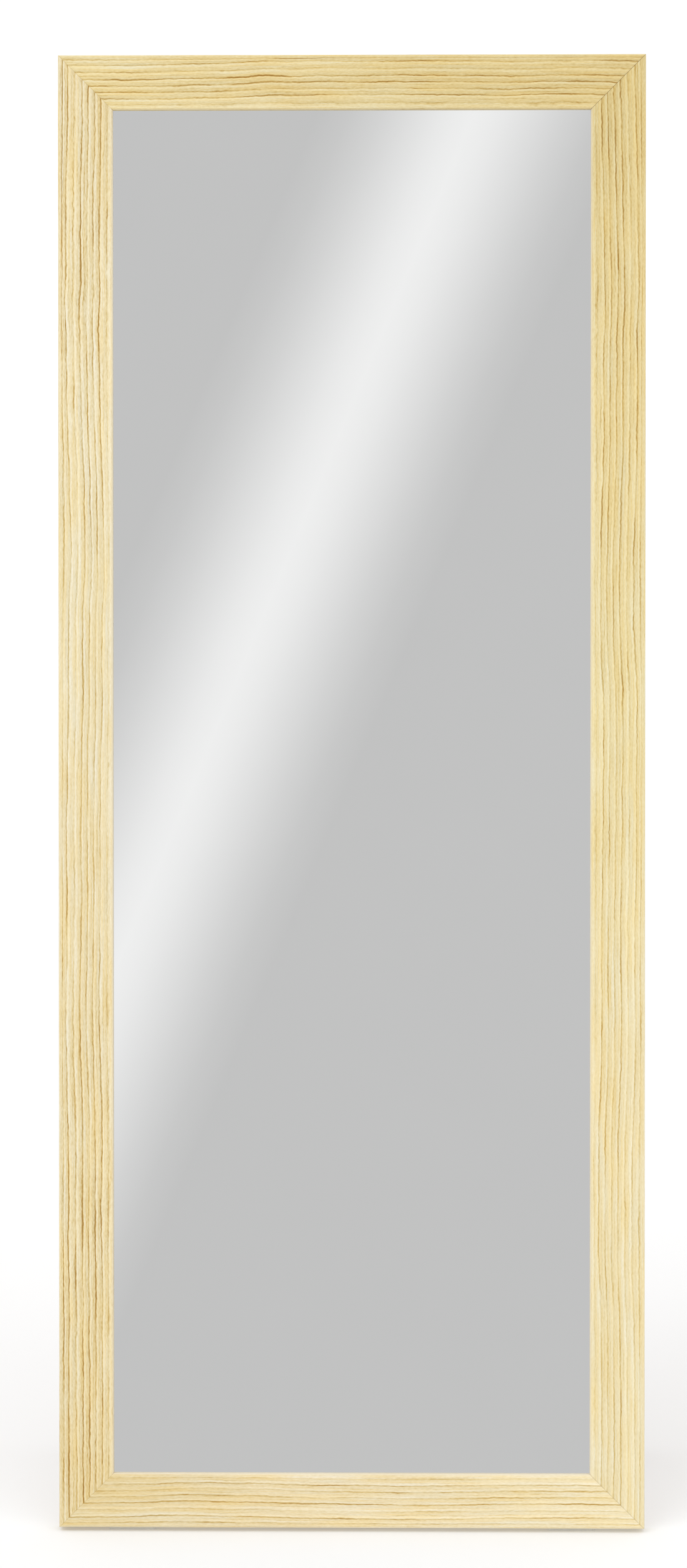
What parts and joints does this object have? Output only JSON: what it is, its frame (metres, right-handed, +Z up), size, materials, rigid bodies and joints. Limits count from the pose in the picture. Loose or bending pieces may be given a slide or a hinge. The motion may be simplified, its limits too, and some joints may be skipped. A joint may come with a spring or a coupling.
{
  "type": "floor mirror",
  "caption": "Full-length rectangular floor mirror in a flat mitred light wood frame, leaning back on a U-shaped tube stand that folds flat behind it.",
  "frame": {"origin": "on the floor, at the middle of the box that holds the mirror and its open stand", "axes": "+Z up, -Y towards the person looking into the glass, +X to that person's right; the frame leans back by 8 degrees towards +Y"},
  "size_m": [0.546, 0.278, 1.3627],
  "materials": {
    "light_oak": "open-grained light oak finish, satin",
    "silvered_glass": "polished",
    "grey_board": "matt",
    "fibreboard": "smooth brown hardboard",
    "zinc_steel": "zinc plated",
    "black_tube": "satin black powder coat",
    "black_rubber": "matt",
    "clear_pad": "translucent soft pad",
    "black_plastic": "matt",
    "white_nylon": "matt"
  },
  "bodies": {
    "mirror": {"left_stile": "light_oak", "right_stile": "light_oak", "top_rail": "light_oak", "bottom_rail": "light_oak", "corner_v_nails": "zinc_steel", "mirror_glass": "silvered_glass", "cardboard_sheet": "grey_board", "backing_board": "fibreboard", "retaining_points": "zinc_steel", "left_floor_pad": "clear_pad", "right_floor_pad": "clear_pad", "left_pivot_bracket": "zinc_steel", "right_pivot_bracket": "zinc_steel", "bracket_screws": "zinc_steel", "left_pivot_bolt": "zinc_steel", "right_pivot_bolt": "zinc_steel", "pivot_lock_nuts": "zinc_steel", "pivot_washers": "white_nylon", "left_keyhole_hanger": "zinc_steel", "right_keyhole_hanger": "zinc_steel", "hanger_screws": "zinc_steel"},
    "stand": {"stand_tube": "black_tube", "left_tube_plug": "black_plastic", "right_tube_plug": "black_plastic", "left_stand_foot": "black_rubber", "right_stand_foot": "black_rubber"}
  },
  "joints": [
    {"name": "stand_fold", "type": "hinge", "parent": "mirror", "child": "stand", "pos_m": [0, 0.01752, 0.87092], "axis": [1, 0, 0], "range_deg": [-15.32, 0]}
  ]
}
